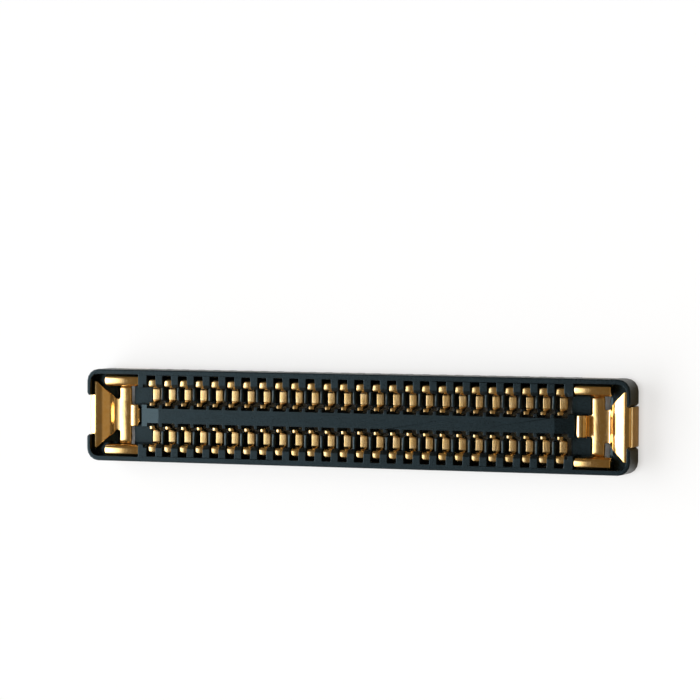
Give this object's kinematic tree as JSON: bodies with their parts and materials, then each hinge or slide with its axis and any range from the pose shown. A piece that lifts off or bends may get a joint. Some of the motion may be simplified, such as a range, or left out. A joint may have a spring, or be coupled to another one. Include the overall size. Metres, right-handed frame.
{
  "type": "board-to-board fpc receptacle connector",
  "caption": "Low flat receptacle for a flexible circuit: slotted black housing with a middle island, two rows of gold contacts and a metal nail at each end.",
  "frame": {"origin": "middle of the part's box on the solder plane", "axes": "+X along the contact rows, +Y across them, +Z from the board towards the mating side"},
  "size_m": [0.0116, 0.0018, 0.0007],
  "materials": {
    "housing_plastic": "moulded liquid crystal polymer, semi-matte, near black with a blue cast",
    "contact_gold": "gold-plated copper alloy strip, smooth",
    "nail_gold": "gold-plated copper alloy sheet, smooth, paler than the contacts"
  },
  "bodies": {
    "root": {"housing": "housing_plastic", "contact_front_01": "contact_gold", "contact_front_02": "contact_gold", "contact_front_03": "contact_gold", "contact_front_04": "contact_gold", "contact_front_05": "contact_gold", "contact_front_06": "contact_gold", "contact_front_07": "contact_gold", "contact_front_08": "contact_gold", "contact_front_09": "contact_gold", "contact_front_10": "contact_gold", "contact_front_11": "contact_gold", "contact_front_12": "contact_gold", "contact_front_13": "contact_gold", "contact_front_14": "contact_gold", "contact_front_15": "contact_gold", "contact_front_16": "contact_gold", "contact_front_17": "contact_gold", "contact_front_18": "contact_gold", "contact_front_19": "contact_gold", "contact_front_20": "contact_gold", "contact_front_21": "contact_gold", "contact_front_22": "contact_gold", "contact_front_23": "contact_gold", "contact_front_24": "contact_gold", "contact_front_25": "contact_gold", "contact_front_26": "contact_gold", "contact_rear_01": "contact_gold", "contact_rear_02": "contact_gold", "contact_rear_03": "contact_gold", "contact_rear_04": "contact_gold", "contact_rear_05": "contact_gold", "contact_rear_06": "contact_gold", "contact_rear_07": "contact_gold", "contact_rear_08": "contact_gold", "contact_rear_09": "contact_gold", "contact_rear_10": "contact_gold", "contact_rear_11": "contact_gold", "contact_rear_12": "contact_gold", "contact_rear_13": "contact_gold", "contact_rear_14": "contact_gold", "contact_rear_15": "contact_gold", "contact_rear_16": "contact_gold", "contact_rear_17": "contact_gold", "contact_rear_18": "contact_gold", "contact_rear_19": "contact_gold", "contact_rear_20": "contact_gold", "contact_rear_21": "contact_gold", "contact_rear_22": "contact_gold", "contact_rear_23": "contact_gold", "contact_rear_24": "contact_gold", "contact_rear_25": "contact_gold", "contact_rear_26": "contact_gold", "end_nail_left": "nail_gold", "end_nail_right": "nail_gold"}
  },
  "joints": []
}
